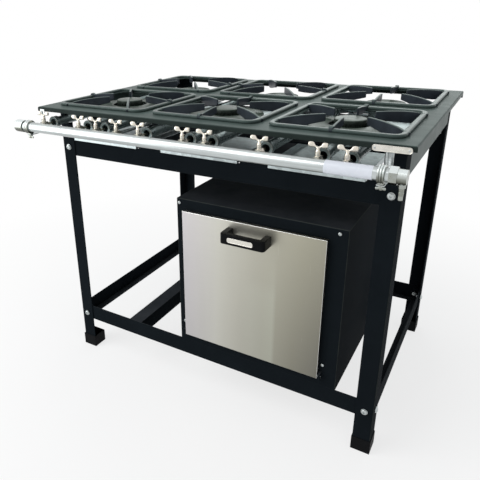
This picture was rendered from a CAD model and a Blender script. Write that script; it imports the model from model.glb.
from math import atan2, pi, radians, tau

import bpy
from bpy.props import FloatProperty, FloatVectorProperty, PointerProperty
from bpy.types import Operator, Panel, PropertyGroup
from mathutils import Matrix, Vector


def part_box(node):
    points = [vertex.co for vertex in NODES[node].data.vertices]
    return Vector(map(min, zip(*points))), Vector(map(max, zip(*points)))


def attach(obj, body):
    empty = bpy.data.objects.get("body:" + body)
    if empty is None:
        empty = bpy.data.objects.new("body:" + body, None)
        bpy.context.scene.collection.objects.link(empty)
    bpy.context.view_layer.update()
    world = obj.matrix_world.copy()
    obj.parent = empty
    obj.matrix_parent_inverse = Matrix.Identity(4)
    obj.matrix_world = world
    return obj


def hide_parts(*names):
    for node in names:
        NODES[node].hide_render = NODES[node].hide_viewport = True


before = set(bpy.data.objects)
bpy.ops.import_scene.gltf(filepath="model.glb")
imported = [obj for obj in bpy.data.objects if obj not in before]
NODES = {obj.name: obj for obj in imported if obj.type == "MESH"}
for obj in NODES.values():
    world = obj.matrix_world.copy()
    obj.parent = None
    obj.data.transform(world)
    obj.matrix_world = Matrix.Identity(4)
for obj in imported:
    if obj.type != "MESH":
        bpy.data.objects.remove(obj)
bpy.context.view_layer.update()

bl_info = {
    "name": "Gas Stove Looks",
    "version": (1, 0, 0),
    "blender": (4, 5, 0),
    "location": "View3D > Sidebar > Stove",
    "description": "Models and finishes a six-burner gas stove with an oven around its CAD frame",
    "category": "Object",
}

MM = 0.001
ORIGIN = Vector()
HOB_LOW, HOB_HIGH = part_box("hob_top")
DOOR_LOW, DOOR_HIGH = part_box("oven_door_skin")
WAYS = {"X": Vector((1, 0, 0)), "Y": Vector((0, 1, 0)), "Z": Vector((0, 0, 1))}
TURNS = {"X": (0, pi / 2, 0), "Y": (-pi / 2, 0, 0), "Z": (0, 0, 0)}
ROWS = ("front", "back")
COLUMNS = (1, 2, 3)
SPOTS = [f"{row}_{column}" for row in ROWS for column in COLUMNS]
TAPS = range(1, 11)
OVEN_TAP = 4
BURNER_TAPS = [number for number in TAPS if number != OVEN_TAP]

# Lengths and angles that decide what counts as the same place, as flat or as smooth
MERGE_REACH = 0.00001
CAD_MERGE_REACH = 0.00002
SAME_PLACE = 0.00005
FLAT_ANGLE = radians(0.4)
SMOOTH_ANGLE = radians(38)


def middle(node):
    """Middle of a CAD node's box."""
    low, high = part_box(node)
    return (low + high) / 2


HOB_MIDDLE = middle("hob_top")
PIPE_AXIS = middle("manifold_pipe")
DOOR_MIDDLE = middle("oven_door_skin")


def sized(name, description, default):
    return FloatProperty(name=name, description=description, default=default, unit="LENGTH")


def toned(name, description, default):
    return FloatVectorProperty(
        name=name, description=description, default=default, subtype="COLOR", min=0, max=1)


class StoveSizes(PropertyGroup):
    edge: sized("Edge round", "Rounding of cut sheet edges", 0.0006)
    bend: sized("Bend radius", "Outer radius of the folded sheet", 0.004)
    grate_round: sized("Grate bar round", "Rounding of the cast ring bars", 0.0028)
    finger_round: sized("Finger round", "Rounding of the grate fingers", 0.0013)
    badge_length: sized("Badge length", "Length of the bare plate on the hob's front lip", 0.076)
    badge_height: sized("Badge height", "Height of the bare plate on the hob's front lip", 0.013)
    label_length: sized("Label length", "Length of the bare label round the gas pipe", 0.094)
    handle_plate: sized("Handle plate length", "Length of the bare plate on the door handle", 0.070)


class StoveTones(PropertyGroup):
    paint: toned("Frame paint", "Black paint of frame and oven", (0.0088, 0.0116, 0.0142))
    hob: toned("Hob enamel", "Enamel of the hob sheet", (0.078, 0.106, 0.098))
    grate: toned("Grate enamel", "Enamel of the cast grates", (0.066, 0.092, 0.085))
    finger: toned("Finger enamel", "Blue-black enamel on the grates' fingers", (0.034, 0.042, 0.052))
    iron: toned("Burner iron", "Painted burner castings", (0.033, 0.046, 0.036))
    tube: toned("Tube skin", "Grey skin of the mixing tubes", (0.20, 0.25, 0.25))
    zinc: toned("Zinc plating", "Bright zinc on pipe and fasteners", (0.56, 0.60, 0.60))
    nickel: toned("Nickel plating", "Warm nickel on the taps", (0.72, 0.68, 0.60))
    brass: toned("Brass", "Turned brass of the jets", (0.56, 0.51, 0.40))
    galvanised: toned("Galvanised sheet", "Spangled sheet of the drip trays", (0.50, 0.56, 0.57))
    steel: toned("Door steel", "Brushed stainless skin of the door", (0.52, 0.51, 0.48))
    moulding: toned("Moulding", "Black plastic of handle and feet", (0.0042, 0.0046, 0.0052))
    enamel: toned("Oven enamel", "Flecked enamel inside the oven", (0.035, 0.036, 0.042))
    label: toned("Label film", "White film of the bare pipe label", (0.80, 0.83, 0.90))
    badge: toned("Badge metal", "Pale metal of the bare plates", (0.74, 0.72, 0.66))
    floor: toned("Floor", "Pale studio floor", (0.86, 0.86, 0.86))


# Finishes


class Value:
    """One socket of a finish. Sums written on it become Math nodes."""

    def __init__(self, finish, socket):
        self.finish = finish
        self.socket = socket

    def worked(self, operation, first, second):
        return self.finish.node("ShaderNodeMath", {0: first, 1: second}, operation=operation)

    def __add__(self, other):
        return self.worked("ADD", self, other)

    __radd__ = __add__

    def __sub__(self, other):
        return self.worked("SUBTRACT", self, other)

    def __rsub__(self, other):
        return self.worked("SUBTRACT", other, self)

    def __mul__(self, other):
        return self.worked("MULTIPLY", self, other)

    __rmul__ = __mul__

    def __abs__(self):
        return self.worked("ABSOLUTE", self, 0.0)

    def most(self, other):
        return self.worked("MAXIMUM", self, other)


class Finish:
    """The nodes of one material or of the world, mixed on Object coordinates."""

    def __init__(self, owner):
        owner.use_nodes = True
        self.tree = owner.node_tree
        self.tree.nodes.clear()

    def node(self, kind, sockets=(), output=0, **settings):
        """Adds a node, sets it up, then gives its sockets their values or links."""
        made = self.tree.nodes.new(kind)
        for name, value in settings.items():
            setattr(made, name, value)
        for name, value in dict(sockets).items():
            if isinstance(value, Value):
                self.tree.links.new(value.socket, made.inputs[name])
            else:
                made.inputs[name].default_value = value
        return Value(self, made.outputs[output]) if made.outputs else None

    def place(self):
        return self.node("ShaderNodeTexCoord", output="Object")

    def part(self, axis):
        """One Object coordinate."""
        return self.node("ShaderNodeSeparateXYZ", {"Vector": self.place()}, axis)

    def noise(self, scale, detail=3, roughness=0.55, at=None):
        sockets = {"Vector": at or self.place(), "Scale": scale, "Detail": detail, "Roughness": roughness}
        return self.node("ShaderNodeTexNoise", sockets)

    def streaks(self, scales, detail, roughness, turn=(0, 0, 0)):
        """Noise with a scale along each axis."""
        at = self.node("ShaderNodeMapping", {"Vector": self.place(), "Scale": scales, "Rotation": turn})
        return self.noise(1, detail, roughness, at)

    def patches(self, scale, detail, roughness, *limits):
        """Noise cut down to a range, with soft edges."""
        return self.ramp(self.noise(scale, detail, roughness), *limits)

    def cells(self, scale):
        """A random number for each crystal of a spangled surface."""
        colour = self.node("ShaderNodeTexVoronoi", {"Vector": self.place(), "Scale": scale}, "Color")
        return self.node("ShaderNodeSeparateColor", {"Color": colour})

    def facing(self, axis):
        """One part of the surface direction, in the piece's own axes."""
        normal = self.node("ShaderNodeTexCoord", output="Normal")
        return self.node("ShaderNodeSeparateXYZ", {"Vector": normal}, axis)

    def upward(self):
        """How far a surface faces up, from 0 to 1."""
        return self.ramp(self.facing("Z"), 0.0, 1.0)

    def folded(self):
        """1 on the rounded folds of a sheet, 0 on faces that lie along an axis."""
        steep = abs(self.facing("X")).most(abs(self.facing("Y"))).most(abs(self.facing("Z")))
        return self.ramp(steep, 0.97, 0.80)

    def ramp(self, value, low, high, start=0.0, end=1.0):
        sockets = {"Value": value, "From Min": low, "From Max": high, "To Min": start, "To Max": end}
        return self.node("ShaderNodeMapRange", sockets)

    def mix(self, factor, first, second):
        return self.node("ShaderNodeMix", {0: factor, 6: first, 7: second}, 2, data_type="RGBA")

    def between(self, factor, tone, low, high):
        """A tone that goes from one gain to another."""
        return self.mix(factor, shade(tone, low), shade(tone, high))

    def surface(self, colour, rough, bump, metal=0.0, gloss=0.5, gloss_tint=(1, 1, 1, 1)):
        """Ends the finish with its shader. A bump is its height, strength and distance."""
        height, strength, distance = bump
        sockets = {"Height": height, "Strength": strength, "Distance": distance}
        shader = self.node("ShaderNodeBsdfPrincipled", {
            "Base Color": colour, "Roughness": rough, "Metallic": metal, "Specular IOR Level": gloss,
            "Specular Tint": gloss_tint, "Normal": self.node("ShaderNodeBump", sockets)})
        self.node("ShaderNodeOutputMaterial", {"Surface": shader})


def shade(tone, gain=1.0):
    return (tone[0] * gain, tone[1] * gain, tone[2] * gain, 1.0)


def black_paint(made, tones):
    """Black paint: orange peel, duller patches, a grey film and dust on top, folds rubbed paler."""
    film_tone, dust_tone = (0.040, 0.044, 0.050, 1), (0.07, 0.07, 0.068, 1)
    rubbed_tone = (0.050, 0.056, 0.052, 1)
    patch = made.noise(7, 4, 0.6)
    peel = made.noise(650, 2)
    film = made.upward() * made.patches(9, 4, 0.6, 0.25, 0.70, 0.35, 1.0)
    dust = made.upward() * made.patches(190, 6, 0.75, 0.60, 0.80, 0.0, 0.5)
    rubbed = made.folded() * made.patches(60, 4, 0.6, 0.25, 0.60, 0.45, 1.0)
    filmed = made.mix(film, made.between(patch, tones.paint, 0.7, 1.35), film_tone)
    made.surface(
        made.mix(rubbed, made.mix(dust, filmed, dust_tone), rubbed_tone), rough=0.44 + 0.20 * patch,
        gloss=0.003, bump=(peel, 0.10, 0.0005))


def hob_enamel(made, tones):
    """Satin enamel on sheet: mottling, orange peel, rubbed streaks, a smoke-darkened front lip."""
    mottle = made.noise(13, 5, 0.62)
    rubbed = made.ramp(made.streaks((3, 18, 6), 4, 0.6), 0.45, 0.72)
    peel = made.noise(420, 2)
    smoked = made.ramp(made.facing("Y"), -0.4, -0.9, 0.0, 0.8)
    worn = made.mix(rubbed * 0.35, made.between(mottle, tones.hob, 0.78, 1.22), shade(tones.hob, 1.6))
    made.surface(
        made.mix(smoked, worn, shade(tones.hob, 0.12)), rough=0.34 + 0.10 * mottle - 0.06 * rubbed,
        gloss=0.04, gloss_tint=(0.86, 1.0, 0.95, 1), bump=(peel, 0.10, 0.0005))


def grate_enamel(made, tones):
    """Enamelled casting: uneven skin, worn and dusty on its upper faces."""
    lump = made.noise(150, 4, 0.6)
    pit = made.noise(520, 3, 0.65)
    worn = made.upward() * made.patches(45, 5, 0.7, 0.38, 0.70)
    tint = made.between(lump, tones.grate, 0.75, 1.2)
    made.surface(
        made.mix(worn * 0.6, tint, shade(tones.grate, 1.45)), rough=0.24 + 0.14 * lump, gloss=0.26,
        gloss_tint=(0.86, 1.0, 0.96, 1), bump=(lump + 0.5 * pit, 0.22, 0.0006))


def finger_enamel(made, tones):
    """The grates' fingers: rough blue-black enamel on the sides, worn greyer along the top."""
    lump = made.noise(150, 4, 0.6)
    bloom = made.patches(18, 4, 0.6, 0.35, 0.65)
    tint = made.between(bloom, tones.finger, 0.8, 1.25)
    made.surface(
        made.mix(made.upward(), tint, shade(tones.grate, 1.5)), rough=0.26 + 0.14 * lump, gloss=0.20,
        bump=(lump, 0.20, 0.0006))


def burner_casting(made, tones):
    """Painted casting: sandy, a little burnt, scoured paler on top."""
    sand = made.noise(380, 4, 0.7)
    burnt = made.patches(22, 4, 0.6, 0.40, 0.72)
    sides = made.mix(burnt * 0.4, shade(tones.iron, 0.3), made.between(sand, tones.iron, 0.5, 0.9))
    made.surface(
        made.mix(made.upward(), sides, made.between(sand, tones.iron, 1.2, 2.0)),
        rough=0.30 + 0.16 * burnt, gloss=0.24, gloss_tint=(0.88, 1.0, 0.96, 1),
        bump=(sand, 0.30, 0.0005))


def tube_casting(made, tones):
    """Mixing tubes and burner bodies: aluminium-grey skin, streaked along the tube, sooty in patches."""
    streak = made.streaks((160, 7, 160), 4, 0.6)
    soot = made.patches(26, 4, 0.6, 0.45, 0.75)
    tint = made.between(streak, tones.tube, 0.65, 1.2)
    made.surface(
        made.mix(soot * 0.7, tint, shade(tones.iron, 0.8)), metal=0.85 - 0.5 * soot,
        rough=0.26 + 0.18 * soot, bump=(streak, 0.08, 0.0003))


def machined_iron(made, tones):
    """Bare turned casting with darker pores."""
    pore = made.patches(900, 3, 0.6, 0.52, 0.70)
    made.surface(
        made.mix(pore, (0.30, 0.32, 0.31, 1), shade(tones.iron, 2.0)), metal=0.8 - 0.5 * pore,
        rough=0.28 + 0.2 * pore, bump=(pore, 0.12, 0.0003))


def bright_zinc(made, tones):
    """Zinc plating: drawn streaks along X, cloudy dulling, a cool tint."""
    streak = made.streaks((9, 420, 420), 4, 0.6)
    drawn = made.ramp(made.streaks((2.5, 120, 120), 3, 0.6), 0.35, 0.68)
    cloud = made.noise(30, 4, 0.6)
    made.surface(
        made.between(drawn * 0.6 + cloud * 0.4, tones.zinc, 0.62, 1.12), metal=1.0,
        rough=0.20 + 0.14 * cloud + 0.08 * streak, bump=(streak, 0.05, 0.0003))


def dull_zinc(made, tones):
    """Old zinc on the pipe fittings: bright on top, olive bloom on the sides, grimy underneath."""
    olive, grimy = (0.24, 0.245, 0.18, 1), (0.060, 0.060, 0.042, 1)
    bloom = made.noise(90, 4, 0.65)
    topped = made.ramp(made.facing("Z"), -0.10, 0.80)
    under = made.ramp(made.facing("Z"), 0.10, -0.70)
    grime = under * made.patches(140, 4, 0.6, 0.2, 0.6, 0.75, 1.0)
    sides = made.mix(bloom, olive, shade(tones.zinc, 0.78))
    tint = made.mix(topped, sides, shade(tones.zinc, 1.28))
    made.surface(
        made.mix(grime, tint, grimy), metal=1.0, rough=0.20 + 0.18 * bloom,
        bump=(bloom, 0.06, 0.0003))


def warm_nickel(made, tones):
    """Nickel on small castings: soft, slightly stained in patches."""
    stain = made.patches(120, 4, 0.6, 0.50, 0.78)
    grain = made.noise(700, 2)
    made.surface(
        made.mix(stain * 0.4, shade(tones.nickel), (0.42, 0.36, 0.26, 1)), metal=1.0,
        rough=0.22 + 0.18 * stain, bump=(grain, 0.08, 0.0003))


def turned_brass(made, tones):
    """Lathe-turned brass, tarnished in patches."""
    tarnish = made.noise(160, 4, 0.6)
    ring = made.streaks((60, 60, 2600), 2, 0.5)
    made.surface(
        made.between(tarnish, tones.brass, 1.1, 0.6), metal=1.0, rough=0.22 + 0.20 * tarnish,
        bump=(ring, 0.10, 0.0002))


def galvanised_sheet(made, tones):
    """Hot-dip zinc: spangle crystals of different brightness, dull patches."""
    crystal = made.cells(95)
    dull = made.noise(12, 5, 0.6)
    tint = made.between(crystal, tones.galvanised, 0.72, 1.15)
    made.surface(
        made.mix(dull * 0.35, tint, (0.30, 0.36, 0.36, 1)), metal=1.0,
        rough=0.24 + 0.16 * crystal + 0.12 * dull, bump=(made.noise(260, 2), 0.04, 0.0005))


def door_x(share):
    """The x at a share of the door's width, from its left edge."""
    return DOOR_LOW.x + (DOOR_HIGH.x - DOOR_LOW.x) * share


def brushed_steel(made, tones):
    """Stainless sheet: brushing from side to side, upright tone bands, a pale gleam right of the middle.

    It is cool at the left edge, and olive and duller towards the lower right."""
    x, z = made.part("X"), made.part("Z")
    line = made.streaks((11, 11, 1300), 4, 0.65)
    fine = made.streaks((30, 30, 4200), 2, 0.5)
    band = made.ramp(made.streaks((9, 1, 0.9), 3, 0.5), 0.30, 0.70)
    hand = made.noise(16, 4, 0.6)
    scratch = made.ramp(made.streaks((260, 5, 5), 1, 0.4, (0, radians(38), 0)), 0.80, 0.84)

    red, green, blue = tones.steel
    cool = (red * 0.96, green * 0.94, blue * 1.04)
    plain = (red, green * 1.01, blue * 0.97)
    olive = (red, green * 0.98, blue * 0.78)
    left = made.ramp(x, DOOR_LOW.x, door_x(0.28))
    across = made.ramp(x, door_x(0.25), DOOR_HIGH.x)
    down = made.ramp(z, DOOR_HIGH.z, DOOR_LOW.z)
    hue = made.mix(across, made.mix(left, shade(cool, 1.28), shade(plain, 1.30)), shade(olive, 1.28))
    sheet = made.mix(across * (0.56 + 0.44 * down), hue, shade(olive, 0.22))
    dulled = made.mix(down * 0.14, sheet, shade(plain, 0.42))

    gleam_left, gleam_right = door_x(0.46), door_x(0.69)
    stop = made.ramp(x, gleam_right + 0.005, gleam_right - 0.005)
    wide = made.ramp(x, gleam_left - 0.010, gleam_left + 0.026) * stop
    narrow = made.ramp(x, gleam_right - 0.034, gleam_right - 0.006) * stop
    low = made.ramp(z, DOOR_MIDDLE.z + 0.05, DOOR_MIDDLE.z + 0.01)
    high = made.ramp(z, DOOR_HIGH.z - 0.05, DOOR_HIGH.z - 0.13)
    gleaming = made.mix(wide * low * 0.15 + narrow * high * 0.13, dulled, (0.64, 0.68, 0.58, 1))

    banded = made.mix(band * 0.20, gleaming, shade(tones.steel, 0.66))
    lined = made.mix(line * 0.22, banded, shade(tones.steel, 0.60))
    scratched = made.mix(scratch * 0.5, lined, shade(tones.steel, 1.4))
    made.surface(
        made.mix(made.folded(), scratched, (0.9, 0.9, 0.88, 1)), metal=1.0,
        rough=0.30 + 0.10 * fine + 0.08 * hand, bump=(line + fine, 0.06, 0.0002))


def black_moulding(made, tones):
    """Moulded plastic: fine leather grain and handled, shinier patches."""
    grain = made.noise(900, 3, 0.6)
    handled = made.noise(40, 4, 0.6)
    made.surface(
        made.between(handled, tones.moulding, 0.8, 1.5), rough=0.20 + 0.16 * handled, gloss=0.05,
        bump=(grain, 0.14, 0.0003))


def foot_plastic(made, tones):
    """Matt plastic of the foot caps, scuffed in patches."""
    grain = made.noise(500, 3, 0.6)
    scuff = made.patches(60, 5, 0.75, 0.52, 0.70)
    made.surface(
        made.between(scuff * 0.5, tones.moulding, 1.0, 3.0), rough=0.55 + 0.20 * scuff, gloss=0.06,
        bump=(grain, 0.18, 0.0004))


def oven_enamel(made, tones):
    """Dark vitreous enamel with pale flecks."""
    fleck = made.patches(430, 2, 0.5, 0.66, 0.70)
    wave = made.noise(35, 3)
    made.surface(
        made.mix(fleck * 0.7, shade(tones.enamel), (0.34, 0.35, 0.38, 1)), rough=0.16 + 0.10 * wave,
        gloss=0.45, bump=(wave, 0.05, 0.001))


def label_film(made, tones):
    """White film label, slightly wrinkled and finger-marked."""
    wrinkle = made.streaks((28, 70, 70), 3, 0.5)
    mark = made.patches(55, 4, 0.6, 0.55, 0.75)
    made.surface(
        made.between(mark * 0.3, tones.label, 1.0, 0.86), rough=0.26 + 0.14 * mark,
        bump=(wrinkle, 0.10, 0.0006))


def plate_metal(made, tones):
    """Pale brushed metal of the bare plates, dulled by stains."""
    line = made.streaks((40, 40, 2200), 3, 0.6)
    stain = made.patches(90, 4, 0.6, 0.48, 0.75)
    made.surface(
        made.between(stain * 0.35, tones.badge, 1.0, 0.62), metal=1.0, rough=0.26 + 0.16 * stain,
        bump=(line, 0.08, 0.0002))


def bright_wire(made, tones):
    """Chromed wire with faint drawing marks."""
    mark = made.noise(300, 3, 0.6)
    made.surface(
        made.mix(mark, (0.50, 0.51, 0.52, 1), (0.66, 0.66, 0.66, 1)), metal=1.0,
        rough=0.12 + 0.14 * mark, bump=(mark, 0.04, 0.0002))


def finish(recipe):
    """The material that a recipe mixes, made the first time it is asked for."""
    name = recipe.__name__
    material = bpy.data.materials.get(name)
    if material is None:
        material = bpy.data.materials.new(name)
        recipe(Finish(material), bpy.context.scene.stove_tones)
    return material


# Modelling


def clear():
    """Leaves edit mode and deselects everything."""
    if bpy.context.object and bpy.context.object.mode != "OBJECT":
        bpy.ops.object.mode_set(mode="OBJECT")
    bpy.ops.object.select_all(action="DESELECT")


def taken(piece):
    """Makes one piece the only selected one."""
    clear()
    piece.select_set(True)
    bpy.context.view_layer.objects.active = piece


def opened(piece):
    """Takes one piece into edit mode."""
    taken(piece)
    bpy.ops.object.mode_set(mode="EDIT")


def started(name):
    """Names the primitive just added, puts its place into its mesh and opens it."""
    piece = bpy.context.object
    piece.name = name
    piece.data.name = name
    bpy.ops.object.transform_apply(location=True, rotation=True, scale=True)
    bpy.ops.object.mode_set(mode="EDIT")
    return piece


def ended(piece):
    """Merges doubles, turns the faces outwards and shades the piece."""
    bpy.ops.mesh.select_mode(type="VERT")
    bpy.ops.mesh.select_all(action="SELECT")
    bpy.ops.mesh.remove_doubles(threshold=MERGE_REACH)
    bpy.ops.mesh.normals_make_consistent(inside=False)
    bpy.ops.object.mode_set(mode="OBJECT")
    bpy.ops.object.shade_smooth_by_angle(angle=SMOOTH_ANGLE)
    return piece


def pick(kind, test):
    """Selects, in edit mode, only the faces (by middle and normal) or edges (by ends) that pass a test."""
    bpy.ops.mesh.select_mode(type=kind)
    bpy.ops.mesh.select_all(action="DESELECT")
    bpy.ops.object.mode_set(mode="OBJECT")
    mesh = bpy.context.object.data
    if kind == "FACE":
        for face in mesh.polygons:
            face.select = test(face.center, face.normal)
    else:
        for edge in mesh.edges:
            edge.select = test(*(mesh.vertices[end].co for end in edge.vertices))
    bpy.ops.object.mode_set(mode="EDIT")


def extruded(move):
    bpy.ops.mesh.extrude_region_move(TRANSFORM_OT_translate={"value": move})


def applied(piece, name, kind, **settings):
    """Adds a modifier to a piece, sets it up and applies it."""
    taken(piece)
    modifier = piece.modifiers.new(name, kind)
    for key, value in settings.items():
        setattr(modifier, key, value)
    bpy.ops.object.modifier_apply(modifier=modifier.name)


def rounded(piece, width, segments=2, angle=35):
    """Rounds the sharp edges and keeps the flat faces flat."""
    applied(piece, "Round", "BEVEL", width=width, segments=segments, limit_method="ANGLE",
            angle_limit=radians(angle))
    bpy.ops.object.shade_smooth()
    applied(piece, "Flat faces", "WEIGHTED_NORMAL", keep_sharp=True)
    return piece


def swollen(piece, levels=2):
    """Smooths a coarse piece by subdivision."""
    applied(piece, "Smooth", "SUBSURF", levels=levels, render_levels=levels)
    bpy.ops.object.shade_smooth()
    return piece


def turned(name, profile, sides=48, axis="Z", centre=ORIGIN):
    """A lathe piece: a circle extruded and resized along its axis. The profile is radius, height in mm.

    A profile that comes back to its first point makes a ring, which has no end faces."""
    way = WAYS[axis]
    ring = profile[0] == profile[-1]
    radius, height = profile[0]
    clear()
    bpy.ops.mesh.primitive_circle_add(
        vertices=sides, radius=radius * MM, fill_type="NOTHING" if ring else "NGON",
        location=centre + way * height * MM, rotation=TURNS[axis])
    piece = started(name)
    for next_radius, next_height in profile[1:]:
        extruded(way * (next_height - height) * MM)
        growth = next_radius / radius
        bpy.ops.transform.resize(
            value=[1 if part else growth for part in way],
            center_override=centre + way * next_height * MM)
        radius, height = next_radius, next_height
    return ended(piece)


def lofted(name, sections):
    """A bar along X: a cross-section extruded and resized. A section is x, low z, high z, width in mm."""
    x, low, high, width = sections[0]
    here = Vector((x, 0, (low + high) / 2)) * MM
    clear()
    bpy.ops.mesh.primitive_plane_add(size=MM, location=here, rotation=(0, pi / 2, 0))
    piece = started(name)
    bpy.ops.transform.resize(value=(1, width, high - low), center_override=here)
    for x, next_low, next_high, next_width in sections[1:]:
        there = Vector((x, 0, (next_low + next_high) / 2)) * MM
        extruded(there - here)
        growth = (1, next_width / width, (next_high - next_low) / (high - low))
        bpy.ops.transform.resize(value=growth, center_override=there)
        here, low, high, width = there, next_low, next_high, next_width
    return ended(piece)


def plate(name, length, height, thick, corner, rim, centre):
    """A plate that faces the front, with round corners and a raised rim."""
    clear()
    bpy.ops.mesh.primitive_plane_add(size=1, location=centre, rotation=(pi / 2, 0, 0))
    piece = started(name)
    bpy.ops.transform.resize(value=(length, 1, height), center_override=centre)
    bpy.ops.mesh.bevel(offset=corner, segments=6, affect="VERTICES")
    extruded((0, -thick, 0))
    bpy.ops.mesh.inset(thickness=rim)
    extruded((0, rim / 2, 0))
    ended(piece)
    return rounded(piece, thick / 5)


def softened(node, name, width, segments=2, fold=None):
    """A copy of a CAD node, merged, its edges rounded and its fold (a test of an edge, a radius) bent."""
    piece = copied(NODES[node], name, Matrix())
    piece.data.materials.clear()
    taken(piece)
    bpy.ops.mesh.customdata_custom_splitnormals_clear()
    bpy.ops.object.mode_set(mode="EDIT")
    bpy.ops.mesh.select_all(action="SELECT")
    bpy.ops.mesh.remove_doubles(threshold=CAD_MERGE_REACH)
    bpy.ops.mesh.dissolve_limited(angle_limit=FLAT_ANGLE)
    if fold:
        test, radius = fold
        pick("EDGE", test)
        bpy.ops.mesh.bevel(offset=radius, segments=4, affect="EDGES")
    bpy.ops.object.mode_set(mode="OBJECT")
    return rounded(piece, width, segments)


def along(**places):
    """A test for edges that lie on all of the given coordinates, such as x=1, z=2."""
    wanted = [("xyz".index(axis), place) for axis, place in places.items()]
    return lambda a, b: all(abs(end[i] - place) < SAME_PLACE for i, place in wanted for end in (a, b))


def either(*tests):
    return lambda a, b: any(test(a, b) for test in tests)


def border(low, high, axes, **plane):
    """A test for the edges at both ends of a box along the axes, in a plane such as z=1."""
    ends = [{axis: getattr(end, axis)} for axis in axes for end in (low, high)]
    return either(*(along(**end, **plane) for end in ends))


def copied(piece, name, move):
    """A copy with its own mesh, moved by a matrix."""
    copy = bpy.data.objects.new(name, piece.data.copy())
    bpy.context.collection.objects.link(copy)
    copy.data.name = name
    copy.data.transform(move)
    return copy


def spread(piece, name, moves):
    """One piece made of a copy at every move; the pattern piece goes."""
    copies = [copied(piece, name, move) for move in moves]
    bpy.data.objects.remove(piece)
    return joined(name, copies)


def joined(name, pieces):
    clear()
    for piece in pieces:
        piece.select_set(True)
    bpy.context.view_layer.objects.active = pieces[0]
    bpy.ops.object.join()
    pieces[0].name = name
    pieces[0].data.name = name
    return pieces[0]


def painted(piece, recipe):
    piece.data.materials.clear()
    piece.data.materials.append(finish(recipe))


def dressed(piece, recipe, body="frame", nodes=()):
    """Gives a piece its finish, its body and the CAD nodes that it stands for."""
    painted(piece, recipe)
    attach(piece, body)
    if nodes:
        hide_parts(*nodes)


def refined(node, name, recipe, width, segments=2, fold=None, body="frame"):
    """A softened copy of a CAD node, dressed to stand for it."""
    dressed(softened(node, name, width, segments, fold), recipe, body, [node])


def coated(recipe, *nodes):
    """Gives CAD nodes that stay as they are their finish."""
    for node in nodes:
        painted(NODES[node], recipe)


def moved(place, turn=0.0, axis="Z"):
    return Matrix.Translation(place) @ Matrix.Rotation(turn, 4, axis)


# Pieces


class STOVE_OT_frame(Operator):
    """Angle legs, rails, foot caps and bolts of the open frame"""

    bl_idname = "stove.frame"
    bl_label = "Frame"

    rails = ("rail_upper_front", "rail_upper_back", "rails_lower_long", "rails_lower_side", "rails_cross",
             "burner_bars")
    foot_round = 0.0018
    bolt_heights = (0.128, 0.704)
    front_bolt_inset = 0.0225
    side_bolt_inset = 0.022

    def execute(self, context):
        sizes = context.scene.stove_sizes
        for row in ROWS:
            for side in ("left", "right"):
                node = f"leg_{row}_{side}"
                x, y = self.corner(row, side)
                refined(node, f"{node}_folded", black_paint, sizes.edge,
                        fold=(along(x=x, y=y), sizes.bend))
        for node in self.rails:
            refined(node, f"{node}_folded", black_paint, sizes.edge)
        low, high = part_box("rails_upper_side")
        refined("rails_upper_side", "rails_upper_side_folded", hob_enamel, sizes.edge,
                fold=(border(low, high, "x", z=high.z), sizes.bend))
        refined("feet", "foot_caps", foot_plastic, self.foot_round, 3)
        self.bolts()
        return {"FINISHED"}

    def corner(self, row, side):
        """Outer x and y of a leg."""
        low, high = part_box(f"leg_{row}_{side}")
        return low.x if side == "left" else high.x, low.y if row == "front" else high.y

    def bolts(self):
        """Zinc pan-head bolts with a socket, a washer and a nut behind the rail."""
        head = turned("bolt", [(8.5, 0), (8.5, 1.1), (7.4, 1.3), (7.1, 3.6), (6.0, 4.7), (4.0, 5.2),
                               (2.9, 5.2), (2.7, 2.6)], 24)
        nut = turned("nut", [(6.6, -11), (7.5, -10.2), (7.5, -5.6), (6.9, -5)], 6)
        tail = turned("tail", [(3.4, -14), (4.0, -13.4), (4.0, -5)], 16)
        bolt = joined("bolt", [head, nut, tail])
        moves = []
        for row, forward in (("front", -1), ("back", 1)):
            for side, outward in (("left", -1), ("right", 1)):
                x, y = self.corner(row, side)
                for height in self.bolt_heights:
                    place = (x - outward * self.front_bolt_inset, y, height)
                    moves.append(moved(place, -forward * pi / 2, "X"))
                place = (x, y - forward * self.side_bolt_inset, self.bolt_heights[0])
                moves.append(moved(place, outward * pi / 2, "Y"))
        dressed(spread(bolt, "frame_bolts_zinc", moves), bright_zinc, nodes=["frame_bolts"])


class STOVE_OT_hob(Operator):
    """Folded hob sheet with six openings, and the bare plate on its front lip"""

    bl_idname = "stove.hob"
    bl_label = "Hob"

    badge_shift, badge_gap, badge_drop = 0.464, 0.002, 0.0095
    badge_thick, badge_corner, badge_rim = 0.0024, 0.0055, 0.0012
    rivet_inset, rivet_gap = 0.0055, 0.0018

    def execute(self, context):
        sizes = context.scene.stove_sizes
        top = HOB_HIGH.z
        refined("hob_top", "hob_sheet", hob_enamel, sizes.edge,
                fold=(border(HOB_LOW, HOB_HIGH, "xy", z=top), sizes.bend))
        place = Vector((HOB_MIDDLE.x + self.badge_shift, HOB_LOW.y - self.badge_gap, top - self.badge_drop))
        badge = plate("lip_plate", sizes.badge_length, sizes.badge_height, self.badge_thick,
                      self.badge_corner, self.badge_rim, place)
        rivet = turned("rivet", [(2.2, 0), (2.1, 0.8), (1.3, 1.5)], 16)
        reach = sizes.badge_length / 2 - self.rivet_inset
        ends = [place + Vector((side * reach, -self.rivet_gap, 0)) for side in (-1, 1)]
        rivets = spread(rivet, "lip_plate_rivets", [moved(end, pi / 2, "X") for end in ends])
        dressed(badge, plate_metal)
        dressed(rivets, bright_zinc)
        return {"FINISHED"}


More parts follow.
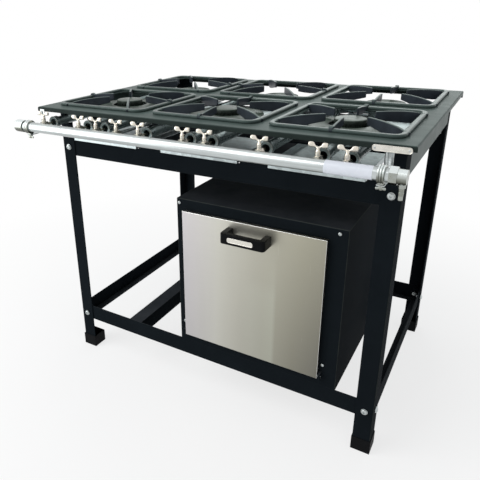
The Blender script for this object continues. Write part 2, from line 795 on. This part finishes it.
class STOVE_OT_grates(Operator):
    """Six cast grates: a rounded square ring, and four slanting fingers with lugs and two straight ones"""

    bl_idname = "stove.grates"
    bl_label = "Grates"

    ring_size, ring_corner, ring_bar, ring_height = 0.300, 0.028, 0.013, 0.008
    slant = ((187, 0.4, 7.4, 8), (176, 0.2, 8.4, 7), (169, -0.5, 9.2, 6.2), (165, -5, 10.2, 6),
             (159, -10, 11.6, 6), (150, -13.4, 13, 6), (138, -13.4, 14.4, 6), (120, -11, 15.8, 6),
             (100, -7.4, 16.8, 6), (80, -4, 17, 5.6), (64, -1.4, 17, 5.4), (60, -0.8, 16.6, 5))
    slant_angles = (36, 144, 216, 324)
    straight = ((150.5, 2, 7, 7), (149, 0.4, 11, 9.4), (145, 0.4, 13.4, 10.4), (139.5, 0.4, 13, 10.2),
                (135, 0.3, 10.6, 8), (130, 0.2, 10.8, 6.4), (122, -3, 12, 6), (100, -4.4, 14.4, 6),
                (80, -3.4, 16.4, 5.6), (64, -1.6, 17, 5.4), (60, -1, 16.8, 5))
    straight_angles = (90, 270)
    turned_spots = ("front_1", "back_1", "back_2")

    def execute(self, context):
        sizes = context.scene.stove_sizes
        ring = self.ring(sizes)
        fingers = joined("fingers", self.fingers(sizes))
        for spot in SPOTS:
            node = f"grate_{spot}"
            place = middle(node)
            turn = pi / 2 if spot in self.turned_spots else 0.0
            seat = moved((place.x, place.y, HOB_HIGH.z), turn)
            dressed(copied(ring, f"{node}_ring", seat), grate_enamel, node, [node])
            dressed(copied(fingers, f"{node}_fingers", seat), finger_enamel, node)
        bpy.data.objects.remove(ring)
        bpy.data.objects.remove(fingers)
        return {"FINISHED"}

    def ring(self, sizes):
        clear()
        bpy.ops.mesh.primitive_plane_add(size=self.ring_size)
        ring = started("ring")
        bpy.ops.mesh.bevel(offset=self.ring_corner, segments=8, affect="VERTICES")
        bpy.ops.mesh.inset(thickness=self.ring_bar)
        bpy.ops.mesh.delete(type="FACE")
        bpy.ops.mesh.select_all(action="SELECT")
        extruded((0, 0, self.ring_height))
        ended(ring)
        return rounded(ring, sizes.grate_round, segments=3, angle=60)

    def fingers(self, sizes):
        made = []
        for sections, angles in ((self.slant, self.slant_angles), (self.straight, self.straight_angles)):
            pattern = rounded(lofted("finger", sections), sizes.finger_round)
            made += [copied(pattern, "finger", moved(ORIGIN, radians(angle))) for angle in angles]
            bpy.data.objects.remove(pattern)
        return made


class STOVE_OT_burners(Operator):
    """Burner bodies with beaded tube mouths, ported rings and ported caps"""

    bl_idname = "stove.burners"
    bl_label = "Burners"

    # Node, row, drop below the hob in mm, sides, height of the ported band in mm, profile
    castings = (
        ("burner_rings_front", "front", 16, 96, 4.2,
         ((97, 0), (97, 4.2), (95.8, 5.2), (92, 5.8), (62, 7.4), (54, 7.8), (50.5, 7.2), (49, 5.6), (49, 0),
          (97, 0))),
        ("burner_caps_front", "front", 16, 48, 11.5,
         ((25.6, -8), (25.6, 0), (37.5, 0), (37.5, 11.5), (37.5, 17.8), (37.1, 18.9), (36.2, 19.6),
          (34.6, 20), (12, 20))),
        ("burner_caps_back", "back", 27, 72, 6.4,
         ((37.6, -8), (37.6, 0), (57, 0), (57, 6.4), (57, 8), (56.6, 9), (55.6, 9.7), (53.8, 10),
          (18, 10))))
    bead = ((14.6, 0), (14.9, -0.6), (15.8, -0.6), (16.3, 0), (16.4, 0.8), (16.2, 1.6), (14.6, 1.6),
            (14.6, 0))
    bead_inset = 0.003
    port_margin = 0.0009
    port_press = 0.97

    def execute(self, context):
        coated(tube_casting, *(f"burner_{spot}" for spot in SPOTS))
        for node, row, drop, sides, band, profile in self.castings:
            pattern = turned("casting", profile, sides)
            self.ports(pattern, max(radius for radius, height in profile), band, sides)
            seat = HOB_HIGH.z - drop * MM
            places = [middle(f"grate_{row}_{column}") for column in COLUMNS]
            made = spread(pattern, f"{node}_ported", [moved((place.x, place.y, seat)) for place in places])
            dressed(made, burner_casting, nodes=[node])
        self.mouths()
        return {"FINISHED"}

    def mouths(self):
        """Machined beads round the mouths of the mixing tubes, each facing its jet."""
        y, z = HOB_LOW.y + self.bead_inset, middle("tap_injectors").z
        places = [(middle(f"tap_handle_{number:02d}").x, y, z) for number in BURNER_TAPS]
        bead = turned("bead", self.bead, 40, "Y")
        beads = spread(bead, "tube_mouths", [moved(place) for place in places])
        dressed(beads, machined_iron)

    def ports(self, piece, radius, height, sides):
        """Flame ports: every second face of the upright band pressed in."""
        opened(piece)

        def on_band(place, normal):
            beyond = (place.x ** 2 + place.y ** 2) ** 0.5 > (radius - 1) * MM
            step = int(atan2(place.y, place.x) % tau / tau * sides)
            return beyond and abs(normal.z) < 0.1 and 0 < place.z < height * MM and step % 2 == 0

        pick("FACE", on_band)
        bpy.ops.mesh.inset(thickness=self.port_margin, use_individual=True)
        bpy.ops.transform.resize(value=(self.port_press, self.port_press, 1), center_override=ORIGIN)
        ended(piece)


class STOVE_OT_gas_pipe(Operator):
    """Gas pipe with its end cap, union, nipple, jets, ridged clamps, straps and bare label"""

    bl_idname = "stove.gas_pipe"
    bl_label = "Gas Pipe"

    union_round, cap_round = 0.0016, 0.0030
    label_shift, label_inner, label_outer = 0.351, 13.55, 13.85
    slot_margin, slot_depth = 0.0052, 0.0014
    hanging_depth, hanging_reach = 0.004, 0.012
    clamp_half = 0.007
    ridges = ((13.7, -7), (17.0, -7), (18.3, -6.2), (18.5, -5), (18.3, -3.4), (16.6, -2.6), (16.4, -2),
              (18.1, -1.2), (18.4, 0), (18.1, 1.2), (16.4, 2), (16.6, 2.6), (18.3, 3.4), (18.5, 5),
              (18.3, 6.2), (17.0, 7), (13.7, 7), (13.7, -7))
    ear = ((-6, -20.5, -15, 12), (6, -20.5, -15, 12))
    ear_round = 0.001
    screw = ((2.6, -32), (3.2, -31), (3.2, -27), (5.2, -26.5), (5.2, -23), (3.4, -22.5))
    wings = ((-10, -31, -27, 2), (-8.5, -33, -25, 3), (-4, -32, -25, 3.4), (0, -30, -25, 4.4),
             (4, -32, -25, 3.4), (8.5, -33, -25, 3), (10, -31, -27, 2))

    def execute(self, context):
        sizes = context.scene.stove_sizes
        coated(bright_zinc, "manifold_pipe")
        coated(turned_brass, "tap_injectors")
        coated(dull_zinc, "gas_inlet_nipple")
        refined("manifold_union", "union_nut", dull_zinc, self.union_round, 3)
        refined("manifold_end_cap", "pipe_end_cap", dull_zinc, self.cap_round, 4)
        straps = softened("pipe_brackets", "pipe_straps", sizes.edge)
        self.slots(straps)
        dressed(straps, bright_zinc, nodes=["pipe_brackets"])
        self.clamps()
        self.label(sizes.label_length / MM)
        return {"FINISHED"}

    def label(self, length):
        start = Vector((HOB_MIDDLE.x + self.label_shift, PIPE_AXIS.y, PIPE_AXIS.z))
        inner, outer = self.label_inner, self.label_outer
        wrap = [(inner, 0), (outer, 0), (outer, length / 2), (outer, length), (inner, length), (inner, 0)]
        label = turned("pipe_label", wrap, axis="X", centre=start)
        dressed(label, label_film)

    def slots(self, straps):
        """An upright slot pressed into the hanging part of each strap."""
        opened(straps)
        back, height = HOB_LOW.y - self.hanging_depth, middle("pipe_brackets").z

        def hanging(place, normal):
            return normal.y < -0.99 and place.y > back and abs(place.z - height) < self.hanging_reach

        pick("FACE", hanging)
        bpy.ops.mesh.inset(thickness=self.slot_margin, use_individual=True)
        extruded((0, self.slot_depth, 0))
        ended(straps)

    def clamps(self):
        """Ridged bands round the pipe, each with an ear and a wing screw under it."""
        band = turned("band", self.ridges, axis="X")
        ear = rounded(lofted("ear", self.ear), self.ear_round)
        screw = turned("screw", self.screw, 20)
        wings = swollen(lofted("wings", self.wings), 1)
        pattern = joined("clamp", [band, ear, screw, wings])
        low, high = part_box("pipe_clamps")
        middles = (low.x + self.clamp_half, high.x - self.clamp_half)
        places = [(x, PIPE_AXIS.y, PIPE_AXIS.z) for x in middles]
        clamps = spread(pattern, "ridged_clamps", [moved(place) for place in places])
        dressed(clamps, dull_zinc, nodes=["pipe_clamps"])


class STOVE_OT_taps(Operator):
    """Tap bodies and butterfly handles"""

    bl_idname = "stove.taps"
    bl_label = "Taps"

    body_round = 0.0006
    collar = ((2.9, 11.3), (2.9, 21.3), (5.4, 21.3), (5.4, 23.4), (4.7, 24.2), (3.7, 25.2), (3.2, 29),
              (2.6, 33))
    stem = ((-3.4, 24, 32, 3.4), (3.4, 24, 32, 3.4))
    stem_round = 0.0008
    bridge = (0, 27.4, 32.4, 3.4)
    pad = ((3.6, 28.6, 33.4, 3.4), (6.2, 31.0, 35.6, 3.8), (8.0, 30.6, 39.4, 5.4), (9.6, 30.2, 41.8, 7),
           (13.4, 30.0, 42.4, 7.8), (17.4, 30.4, 42.4, 7.8), (20.2, 31.2, 41.6, 6.4),
           (20.6, 33.6, 39.6, 4.4))

    def execute(self, context):
        refined("tap_bodies", "tap_bodies_cast", warm_nickel, self.body_round)
        pattern = self.handle()
        for number in TAPS:
            node = f"tap_handle_{number:02d}"
            place = middle(node)
            handle = copied(pattern, f"{node}_butterfly", moved((place.x, place.y, PIPE_AXIS.z)))
            dressed(handle, warm_nickel, node, [node])
        bpy.data.objects.remove(pattern)
        return {"FINISHED"}

    def handle(self):
        """A collar on a spindle, a slim flat stem and two thick pads on short arms."""
        collar = turned("collar", self.collar, 24)
        stem = rounded(lofted("stem", self.stem), self.stem_round)
        left = [(-x, low, high, width) for x, low, high, width in reversed(self.pad)]
        pads = swollen(lofted("pads", [*left, self.bridge, *self.pad]))
        return joined("handle", [collar, stem, pads])


class STOVE_OT_trays(Operator):
    """Galvanised drip trays under the burners, and the painted strips between them"""

    bl_idname = "stove.trays"
    bl_label = "Drip Trays"

    tray_round = 0.0004
    runner_inset, runner_gap, runner_rise = 0.0025, 0.003, 0.002
    runner_fold, runner_sheet, runner_round = 0.0018, 0.0012, 0.0003

    def execute(self, context):
        for column in COLUMNS:
            node = f"drip_tray_{column}"
            refined(node, f"{node}_sheet", galvanised_sheet, self.tray_round, body=node)
        self.runners()
        return {"FINISHED"}

    def runners(self):
        """Painted strips between the trays, from the front rail's web to the back rail's."""
        boxes = [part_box(f"drip_tray_{column}") for column in COLUMNS]
        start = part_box("rail_upper_front")[0].y + self.runner_inset
        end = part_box("rail_upper_back")[1].y - self.runner_inset
        strips = []
        for (_, left), (right, _) in zip(boxes, boxes[1:]):
            place = Vector(((left.x + right.x) / 2, (start + end) / 2, right.z + self.runner_rise))
            strips.append(self.strip(place, (right.x - left.x - 2 * self.runner_gap, end - start, 1)))
        dressed(joined("tray_runners", strips), black_paint)

    def strip(self, place, size):
        """A sheet strip with its long edges folded down."""
        clear()
        bpy.ops.mesh.primitive_plane_add(size=1, location=place)
        strip = started("strip")
        bpy.ops.transform.resize(value=size, center_override=place)
        pick("EDGE", lambda a, b: abs(a.x - b.x) < SAME_PLACE)
        extruded((0, 0, -self.runner_fold))
        ended(strip)
        applied(strip, "Sheet", "SOLIDIFY", thickness=self.runner_sheet)
        return rounded(strip, self.runner_round)


class STOVE_OT_oven(Operator):
    """Oven shell with folded edges and screws, and what is inside it"""

    bl_idname = "stove.oven"
    bl_label = "Oven"

    front_inset = 0.0140394
    fold_radius = 0.003
    screw_drop, screw_left, screw_right = 0.013, 0.009, 0.022
    hinge_rise, hinge_gap = 0.036, 0.008

    def execute(self, context):
        sizes = context.scene.stove_sizes
        low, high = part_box("oven_shell")
        front = low.y + self.front_inset
        folds = either(border(low, high, "x", z=high.z), border(low, high, "x", y=front),
                       along(y=front, z=high.z))
        refined("oven_shell", "oven_shell_folded", black_paint, sizes.edge,
                fold=(folds, self.fold_radius))
        coated(oven_enamel, "oven_liner", "oven_floor_plate", "oven_burner")
        coated(bright_zinc, "oven_gas_tube", "oven_hinge_pins")
        coated(bright_wire, "oven_rack")
        screw = turned("screw", [(4.6, 0), (4.6, 0.6), (4.2, 1.6), (3.0, 2.3), (1.6, 2.5), (1.5, 1.2)], 20)
        top, hinge = high.z - self.screw_drop, DOOR_LOW.z + self.hinge_rise
        places = [(low.x + self.screw_left, front, top), (high.x - self.screw_right, front, top),
                  (DOOR_LOW.x - self.hinge_gap, front, hinge), (DOOR_HIGH.x + self.hinge_gap, front, hinge)]
        screws = spread(screw, "oven_screws", [moved(place, pi / 2, "X") for place in places])
        dressed(screws, bright_zinc)
        return {"FINISHED"}


class STOVE_OT_door(Operator):
    """Oven door: brushed skin, enamelled inner panel, bow handle with its bare plate"""

    bl_idname = "stove.door"
    bl_label = "Oven Door"

    skin_round, skin_bend = 0.0003, 0.0015
    bow_round, bow_bend = 0.0014, 0.009
    plate_height, plate_thick, plate_corner, plate_rim = 0.013, 0.0012, 0.0045, 0.001
    plate_shift, plate_sink = 0.004, 0.0002

    def execute(self, context):
        edges = border(DOOR_LOW, DOOR_HIGH, "xz", y=DOOR_LOW.y)
        refined("oven_door_skin", "door_skin_brushed", brushed_steel, self.skin_round,
                fold=(edges, self.skin_bend), body="oven_door")
        coated(oven_enamel, "oven_door_panel")
        self.handle(context.scene.stove_sizes)
        return {"FINISHED"}

    def handle(self, sizes):
        low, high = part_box("oven_door_handle")
        refined("oven_door_handle", "door_bow", black_moulding, self.bow_round, 3,
                (border(low, high, "x", y=low.y), self.bow_bend), "oven_door")
        centre = (low + high) / 2
        place = Vector((centre.x - self.plate_shift, low.y + self.plate_sink, centre.z))
        name_plate = plate("handle_plate", sizes.handle_plate, self.plate_height, self.plate_thick,
                           self.plate_corner, self.plate_rim, place)
        dressed(name_plate, plate_metal, "oven_door")


class STOVE_OT_stage(Operator):
    """Pale floor, soft studio light and the camera"""

    bl_idname = "stove.stage"
    bl_label = "Stage"

    # Name, place, size, power and colour of each lamp, and the point they all face
    lamps = (
        ("key", (-1.5, -1.9, 2.9), 2.2, 45, (1, 1, 1)),
        ("fill", (-1.7, -1.5, 0.8), 1.4, 14, (1, 1, 1)),
        ("rim", (-0.3, 2.6, 1.55), 1.8, 9, (0.90, 1.0, 0.97)))
    lamp_aim = Vector((0, 0, 0.6))
    floor_size = 14
    shadow_reach, white_reach, shadow_white = 0.6, 1.7, 0.74
    world_tint, world_strength = (0.95, 0.98, 1.0, 1), 0.52

    def execute(self, context):
        scene = context.scene
        scene.view_settings.view_transform = "Standard"
        self.floor(scene.stove_tones)
        self.world(scene)
        for lamp in self.lamps:
            self.lamp(*lamp)
        self.camera(scene)
        return {"FINISHED"}

    def seen(self, made):
        """1 for what the camera, a gloss or a glass sees, 0 for the light that falls on the object."""
        kinds = ("Camera", "Glossy", "Transmission")
        camera, gloss, glass = (made.node("ShaderNodeLightPath", output=f"Is {kind} Ray") for kind in kinds)
        return made.ramp(camera + gloss + glass, 0.0, 1.0)

    def floor(self, tones):
        """A floor that shows white far from the object and takes a soft shadow near it."""
        clear()
        bpy.ops.mesh.primitive_plane_add(size=self.floor_size, location=ORIGIN)
        floor = bpy.context.object
        floor.name = "studio_floor"
        material = bpy.data.materials.new("pale_floor")
        made = Finish(material)
        pale = made.between(made.noise(2, 3), tones.floor, 1.0, 1.06)
        reach = made.node("ShaderNodeVectorMath", {0: made.place()}, "Value", operation="LENGTH")
        white = made.ramp(reach, self.shadow_reach, self.white_reach, self.shadow_white, 1.0)
        matt = made.node("ShaderNodeBsdfDiffuse", {"Color": pale})
        glow = made.node("ShaderNodeEmission", {"Color": (1, 1, 1, 1)})
        both = made.node("ShaderNodeMixShader", {0: self.seen(made) * white, 1: matt, 2: glow})
        made.node("ShaderNodeOutputMaterial", {"Surface": both})
        floor.data.materials.append(material)

    def world(self, scene):
        scene.world = bpy.data.worlds.new("studio")
        made = Finish(scene.world)
        soft = made.node(
            "ShaderNodeBackground", {"Color": self.world_tint, "Strength": self.world_strength})
        white = made.node("ShaderNodeBackground", {"Color": (1, 1, 1, 1)})
        both = made.node("ShaderNodeMixShader", {0: self.seen(made), 1: soft, 2: white})
        made.node("ShaderNodeOutputWorld", {"Surface": both})

    def lamp(self, name, place, size, power, tint):
        light = bpy.data.lights.new(name, "AREA")
        light.size = size
        light.energy = power
        light.color = tint
        lamp = bpy.data.objects.new(name, light)
        lamp.location = place
        lamp.rotation_euler = (self.lamp_aim - Vector(place)).to_track_quat("-Z", "Y").to_euler()
        bpy.context.collection.objects.link(lamp)

    def camera(self, scene):
        lens = bpy.data.cameras.new("camera")
        lens.lens = 39.09
        lens.sensor_width = 36
        lens.shift_x = 0.101
        lens.shift_y = -0.057
        camera = bpy.data.objects.new("camera", lens)
        camera.location = (0.6685, -1.37465, 1.0869)
        camera.rotation_euler = (radians(68.36), radians(1.33), radians(31.7))
        bpy.context.collection.objects.link(camera)
        scene.camera = camera


OPERATORS = (
    STOVE_OT_frame, STOVE_OT_hob, STOVE_OT_grates, STOVE_OT_burners, STOVE_OT_gas_pipe, STOVE_OT_taps,
    STOVE_OT_trays, STOVE_OT_oven, STOVE_OT_door, STOVE_OT_stage)


class STOVE_PT_looks(Panel):
    """Sizes, tones and pieces of the stove"""

    bl_idname = "STOVE_PT_looks"
    bl_label = "Gas Stove"
    bl_space_type = "VIEW_3D"
    bl_region_type = "UI"
    bl_category = "Stove"

    def draw(self, context):
        for group in (context.scene.stove_sizes, context.scene.stove_tones):
            box = self.layout.box()
            for name in group.__annotations__:
                box.prop(group, name)
        for operator in OPERATORS:
            self.layout.operator(operator.bl_idname)


CLASSES = (StoveSizes, StoveTones, *OPERATORS, STOVE_PT_looks)


def register():
    for kind in CLASSES:
        bpy.utils.register_class(kind)
    bpy.types.Scene.stove_sizes = PointerProperty(type=StoveSizes)
    bpy.types.Scene.stove_tones = PointerProperty(type=StoveTones)


def unregister():
    del bpy.types.Scene.stove_tones
    del bpy.types.Scene.stove_sizes
    for kind in reversed(CLASSES):
        bpy.utils.unregister_class(kind)


def main():
    register()
    for operator in OPERATORS:
        group, name = operator.bl_idname.split(".")
        getattr(getattr(bpy.ops, group), name)()


if __name__ == "__main__":
    main()
